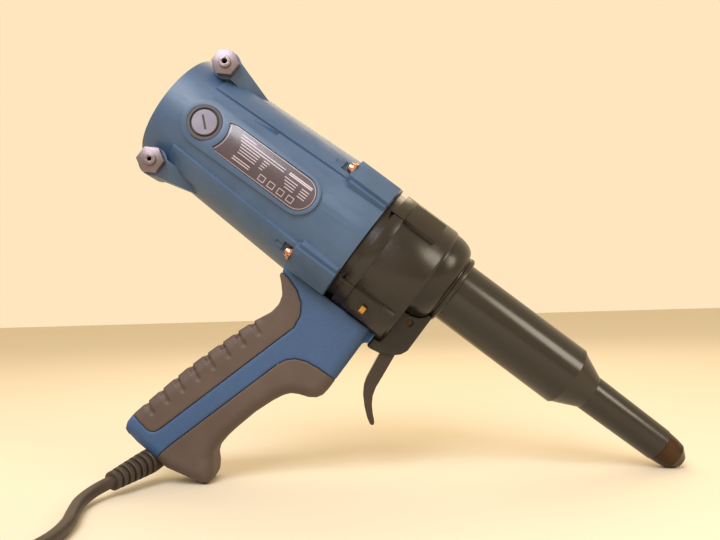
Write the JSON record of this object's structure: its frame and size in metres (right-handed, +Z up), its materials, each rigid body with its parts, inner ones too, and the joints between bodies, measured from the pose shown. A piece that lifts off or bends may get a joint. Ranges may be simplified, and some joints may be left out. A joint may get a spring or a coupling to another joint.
{
  "type": "electric blind rivet gun",
  "caption": "Corded electric blind rivet gun: blue motor housing over a rubbered pistol grip, black gear case and stepped barrel, trigger lever, spare nosepieces",
  "frame": {"origin": "centre of the tool's bounding box, on the surface it stands on, without its cord and plug", "axes": "+Z up; +X toward the nose, as the tool stands on its nose tip and grip butt; +Y to the tool's left side"},
  "size_m": [0.4439, 0.2644, 0.2536],
  "materials": {
    "blue_housing_plastic": "finely grained blue nylon moulding",
    "black_moulding": "satin black glass-filled nylon",
    "black_anodised_tube": "satin black anodised",
    "black_steel": "black oxide",
    "grip_rubber": "matt soft-touch rubber",
    "cord_rubber": "matt black cord jacket",
    "bright_steel": "ground steel",
    "jaw_steel": "hardened tool steel",
    "brass": "turned brass",
    "copper": "copper",
    "carbon": "pressed carbon",
    "laminated_steel": "stacked laminations",
    "nameplate_foil": "dark printed foil, blank",
    "circuit_board": "green board",
    "pale_nylon": "pale nylon",
    "plated_screw": "copper-coloured plating"
  },
  "bodies": {
    "gun": {"motor_housing": "blue_housing_plastic", "nameplate": "nameplate_foil", "brush_cap_right": "black_moulding", "brush_cap_left": "black_moulding", "brush_holders": "brass", "carbon_brushes": "carbon", "brush_springs": "bright_steel", "stator_core": "laminated_steel", "field_windings": "copper", "rear_bearing": "bright_steel", "front_bearing": "bright_steel", "gear_plate": "black_moulding", "gear_case": "black_moulding", "gear_case_screws": "brass", "idler_bushes": "brass", "nut_bearing": "bright_steel", "thrust_bearing": "bright_steel", "limit_switch": "black_moulding", "guide_bush": "brass", "barrel": "black_anodised_tube", "nose_sleeve": "black_anodised_tube", "nosepiece": "black_steel", "spare_nosepiece_upper": "black_steel", "spare_nosepiece_lower": "black_steel", "housing_screws": "plated_screw", "screw_washers": "plated_screw", "grip_right": "blue_housing_plastic", "grip_left": "blue_housing_plastic", "back_strap": "grip_rubber", "front_rubber": "grip_rubber", "grip_screws": "bright_steel", "trigger_housing": "black_moulding", "trigger_pin": "black_steel", "trigger_spring": "bright_steel", "power_switch": "black_moulding", "control_board": "circuit_board", "terminal_block": "pale_nylon", "strain_relief": "cord_rubber", "cord": "cord_rubber", "cord_coil": "cord_rubber", "cord_tail": "cord_rubber", "plug_body": "black_moulding", "plug_pins": "bright_steel"},
    "armature": {"armature_shaft": "bright_steel", "armature_core": "laminated_steel", "armature_windings": "copper", "commutator": "copper", "cooling_fan": "black_moulding", "motor_pinion": "bright_steel"},
    "idler": {"idler_gear": "bright_steel"},
    "nut": {"nut_gear": "brass"},
    "spindle": {"pull_spindle": "bright_steel", "jaw_case": "bright_steel", "jaw_spring": "bright_steel"},
    "pusher": {"jaw_pusher": "bright_steel"},
    "jaw_a": {"jaw_1": "jaw_steel"},
    "jaw_b": {"jaw_2": "jaw_steel"},
    "jaw_c": {"jaw_3": "jaw_steel"},
    "trigger_lever": {"trigger": "black_moulding"},
    "rod": {"switch_rod": "bright_steel"}
  },
  "joints": [
    {"name": "armature_spin", "type": "hinge", "parent": "gun", "child": "armature", "pos_m": [-0.07632, 0, 0.18239], "axis": [0.7826, 0, -0.6225], "range_deg": [0, 32990]},
    {"name": "idler_spin", "type": "hinge", "parent": "gun", "child": "idler", "pos_m": [-0.01834, 0, 0.11071], "axis": [0.7826, 0, -0.6225], "range_deg": [-8250, 0]},
    {"name": "nut_spin", "type": "hinge", "parent": "gun", "child": "nut", "pos_m": [0.01661, 0, 0.12252], "axis": [0.7826, 0, -0.6225], "range_deg": [0, 1980]},
    {"name": "spindle_pull", "type": "slide", "parent": "gun", "child": "spindle", "axis": [-0.7826, 0, 0.6225], "range_m": [0, 0.022]},
    {"name": "jaw_pusher_slide", "type": "slide", "parent": "spindle", "child": "pusher", "axis": [-0.7826, 0, 0.6225], "range_m": [0, 0.0015], "stiffness_N_per_m": 2000, "springref_m": -0.004, "deforming": ["jaw_spring"]},
    {"name": "jaw_1_slide", "type": "slide", "parent": "spindle", "child": "jaw_a", "axis": [-0.8347, 0.21, 0.509], "range_m": [0, 0.0016]},
    {"name": "jaw_2_slide", "type": "slide", "parent": "spindle", "child": "jaw_b", "axis": [-0.6082, 0, 0.7938], "range_m": [0, 0.0016]},
    {"name": "jaw_3_slide", "type": "slide", "parent": "spindle", "child": "jaw_c", "axis": [-0.8347, -0.21, 0.509], "range_m": [0, 0.0016]},
    {"name": "trigger_pull", "type": "hinge", "parent": "gun", "child": "trigger_lever", "pos_m": [0.00516, 0, 0.09126], "axis": [0, 1, 0], "range_deg": [0, 12], "stiffness_Nm_per_rad": 0.5, "springref_deg": -11.46},
    {"name": "switch_rod_slide", "type": "slide", "parent": "gun", "child": "rod", "axis": [-0.7826, 0, 0.6225], "range_m": [0, 0.0052], "deforming": ["trigger_spring"]}
  ],
  "couplings": [
    {"joint": "idler_spin", "follows": "armature_spin", "ratio": -0.25},
    {"joint": "nut_spin", "follows": "armature_spin", "ratio": 0.06},
    {"joint": "spindle_pull", "follows": "armature_spin", "m_per_rad": 0.000038197},
    {"joint": "jaw_1_slide", "follows": "jaw_pusher_slide", "ratio": 1.0308},
    {"joint": "jaw_2_slide", "follows": "jaw_pusher_slide", "ratio": 1.0308},
    {"joint": "jaw_3_slide", "follows": "jaw_pusher_slide", "ratio": 1.0308},
    {"joint": "switch_rod_slide", "follows": "trigger_pull", "m_per_rad": 0.024351}
  ]
}
